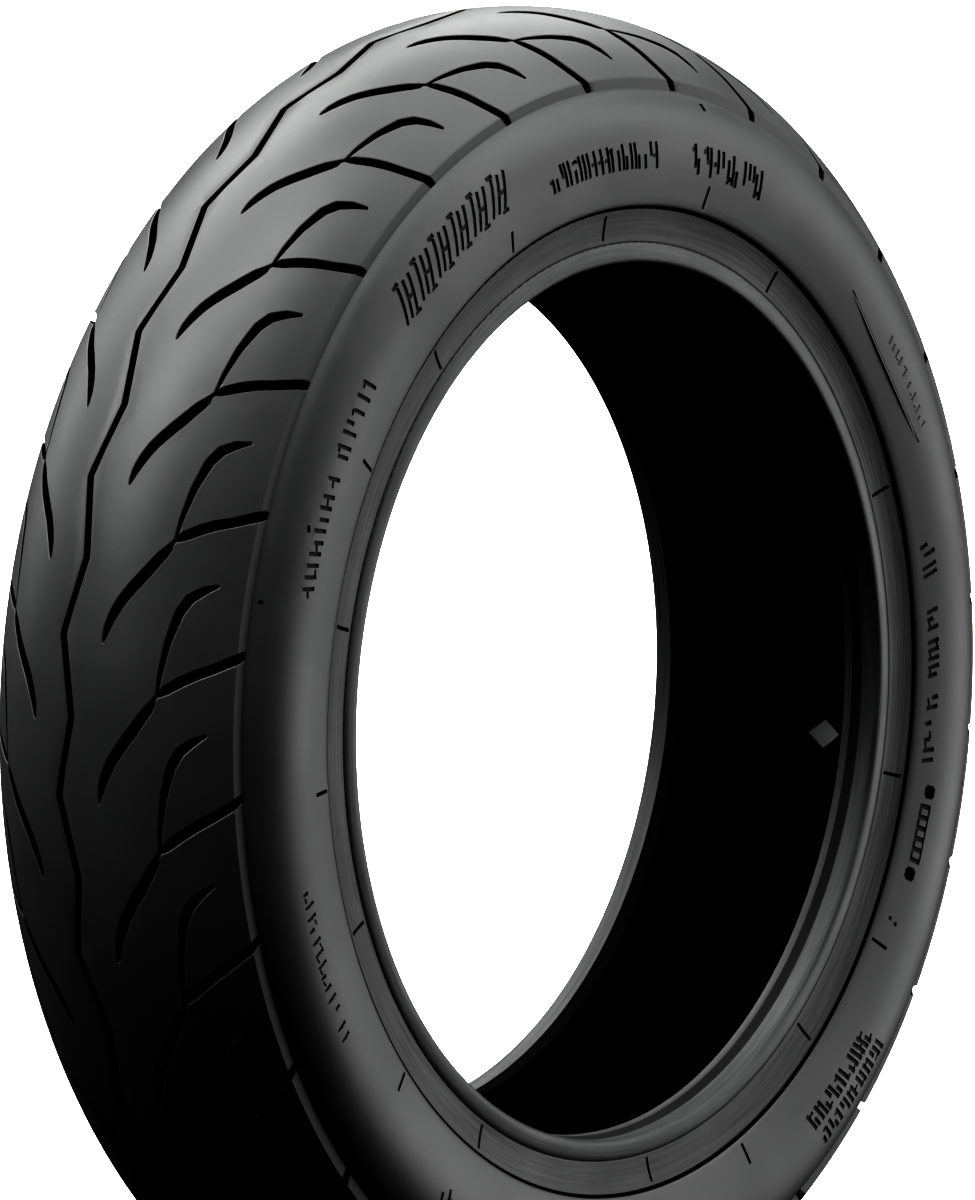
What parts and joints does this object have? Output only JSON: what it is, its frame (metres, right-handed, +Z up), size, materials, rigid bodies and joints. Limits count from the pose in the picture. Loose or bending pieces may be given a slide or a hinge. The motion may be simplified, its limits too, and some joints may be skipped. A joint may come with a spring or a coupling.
{
  "type": "scooter tyre",
  "caption": "Tubeless road tyre for a small wheel: rounded crown, swept side grooves, zigzag centre groove, shoulder ribs, and two flat-faced beads round an open centre.",
  "frame": {"origin": "the wheel centre: the middle of the tyre's width, on its spin axis", "axes": "+Y along the spin axis towards the left side, +Z up with the tyre standing on its tread, +X forward"},
  "size_m": [0.4749, 0.114, 0.4749],
  "materials": {
    "tread_rubber": "satin, faintly dusty",
    "sidewall_rubber": "satin moulded rubber",
    "base_rubber": "matte",
    "ply_cord": "rubbered nylon cord",
    "liner_rubber": "smooth, slightly glossy",
    "filler_rubber": "matte",
    "wrap_cloth": "rubbered square-woven cloth",
    "chafer_rubber": "satin",
    "bead_steel": "bronze-coated drawn wire",
    "label_film": "matte, greyed by release agent"
  },
  "bodies": {
    "root": {"tread_cap": "tread_rubber", "tread_base": "base_rubber", "carcass_ply_outer": "ply_cord", "carcass_ply_inner": "ply_cord", "inner_liner": "liner_rubber", "liner_label": "label_film", "shoulder_wing_left": "sidewall_rubber", "shoulder_wing_right": "sidewall_rubber", "sidewall_left": "sidewall_rubber", "sidewall_right": "sidewall_rubber", "rim_cushion_left": "sidewall_rubber", "rim_cushion_right": "sidewall_rubber", "chafer_left": "chafer_rubber", "chafer_right": "chafer_rubber", "bead_filler_left": "filler_rubber", "bead_filler_right": "filler_rubber", "bead_wrap_left": "wrap_cloth", "bead_wrap_right": "wrap_cloth", "bead_core_left": "bead_steel", "bead_core_right": "bead_steel"}
  },
  "joints": []
}
